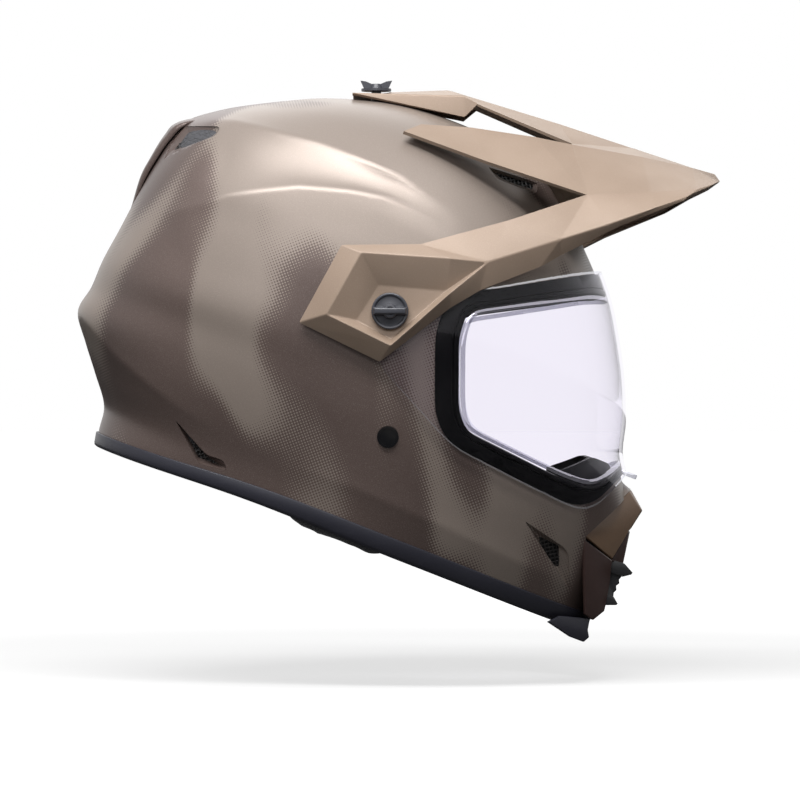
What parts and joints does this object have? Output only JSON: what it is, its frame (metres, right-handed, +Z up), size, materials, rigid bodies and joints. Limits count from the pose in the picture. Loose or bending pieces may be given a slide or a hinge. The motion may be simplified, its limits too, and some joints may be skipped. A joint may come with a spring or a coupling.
{
  "type": "dual sport helmet",
  "caption": "Full-face helmet with a peaked visor on side pivots, a lifting clear shield, a vented chin bar, foam liners and a ring-fastened chin strap.",
  "frame": {"origin": "middle of the common pivot axis of the shield and the visor", "axes": "+X forward, +Y to the wearer's left, +Z up, in the worn attitude"},
  "size_m": [0.3937, 0.268, 0.3378],
  "materials": {
    "shell_paint": "satin paint in soft blotches of taupe, sand and plum brown",
    "visor_paint": "satin sand paint",
    "bronze_paint": "satin metallic bronze paint",
    "dark_brown_plastic": "matte",
    "trim_rubber": "soft sheen",
    "seal_rubber": "soft sheen",
    "black_plastic": "fine matte grain",
    "vent_mesh": "fine black mesh",
    "clear_shield": "clear hard-coated sheet",
    "knob_plastic": "fine satin moulding",
    "insert_brass": "machined",
    "rivet_steel": "dark coated",
    "plain_steel": "plated",
    "ring_steel": "bright plated",
    "foam": "moulded bead foam",
    "lining_fabric": "brushed knit over soft foam",
    "strap_webbing": "woven webbing"
  },
  "bodies": {
    "helmet": {"outer_shell": "shell_paint", "rear_spoiler": "shell_paint", "eyeport_gasket": "seal_rubber", "base_trim": "trim_rubber", "chin_vent_cowl": "bronze_paint", "chin_lower_panel": "dark_brown_plastic", "mouth_grille": "black_plastic", "visor_top_insert": "insert_brass", "impact_liner": "foam", "comfort_liner": "lining_fabric", "chin_foam": "foam", "neck_roll": "lining_fabric", "breath_guard": "black_plastic", "upper_rear_vent_left": "vent_mesh", "lower_rear_vent_left": "vent_mesh", "chin_side_vent_left": "vent_mesh", "brow_vent_left": "vent_mesh", "shield_base_plate_left": "black_plastic", "visor_insert_left": "insert_brass", "strap_rivet_left": "rivet_steel", "strap_anchor_left": "plain_steel", "cheek_foam_left": "foam", "cheek_pad_left": "lining_fabric", "chin_strap_left": "strap_webbing", "upper_rear_vent_right": "vent_mesh", "lower_rear_vent_right": "vent_mesh", "chin_side_vent_right": "vent_mesh", "brow_vent_right": "vent_mesh", "shield_base_plate_right": "black_plastic", "visor_insert_right": "insert_brass", "strap_rivet_right": "rivet_steel", "strap_anchor_right": "plain_steel", "cheek_foam_right": "foam", "cheek_pad_right": "lining_fabric", "chin_strap_right": "strap_webbing"},
    "shield": {"face_shield": "clear_shield"},
    "visor": {"visor": "visor_paint"},
    "screw_left": {"visor_screw_left": "knob_plastic"},
    "screw_right": {"visor_screw_right": "knob_plastic"},
    "top_screw": {"visor_top_screw": "knob_plastic"},
    "shutter": {"chin_vent_shutter": "black_plastic"},
    "ring_lower": {"strap_ring_lower": "ring_steel"},
    "ring_upper": {"strap_ring_upper": "ring_steel"}
  },
  "joints": [
    {"name": "shield_lift", "type": "hinge", "parent": "helmet", "child": "shield", "pos_m": [0, 0, 0], "axis": [0, -1, 0], "range_deg": [0, 38]},
    {"name": "visor_tilt", "type": "hinge", "parent": "helmet", "child": "visor", "pos_m": [0, 0, 0], "axis": [0, -1, 0], "range_deg": [-2, 2]},
    {"name": "screw_left_turn", "type": "hinge", "parent": "helmet", "child": "screw_left", "pos_m": [0, 0.13, 0], "axis": [0, 1, 0], "continuous": true},
    {"name": "screw_right_turn", "type": "hinge", "parent": "helmet", "child": "screw_right", "pos_m": [0, -0.13, 0], "axis": [0, 1, 0], "continuous": true},
    {"name": "top_screw_turn", "type": "hinge", "parent": "helmet", "child": "top_screw", "pos_m": [-0.0087, 0, 0.138], "axis": [0, 0, 1], "continuous": true},
    {"name": "shutter_slide", "type": "slide", "parent": "helmet", "child": "shutter", "axis": [0.3551, 0, 0.9348], "range_m": [0, 0.008]},
    {"name": "ring_lower_swing", "type": "hinge", "parent": "helmet", "child": "ring_lower", "pos_m": [-0.02228, 0.04998, -0.12934], "axis": [0.9348, 0, -0.3551], "range_deg": [-30, 40]},
    {"name": "ring_upper_swing", "type": "hinge", "parent": "helmet", "child": "ring_upper", "pos_m": [-0.02058, 0.04998, -0.12486], "axis": [0.9348, 0, -0.3551], "range_deg": [-30, 40]}
  ],
  "couplings": [
    {"joint": "ring_upper_swing", "follows": "ring_lower_swing", "ratio": 1}
  ]
}
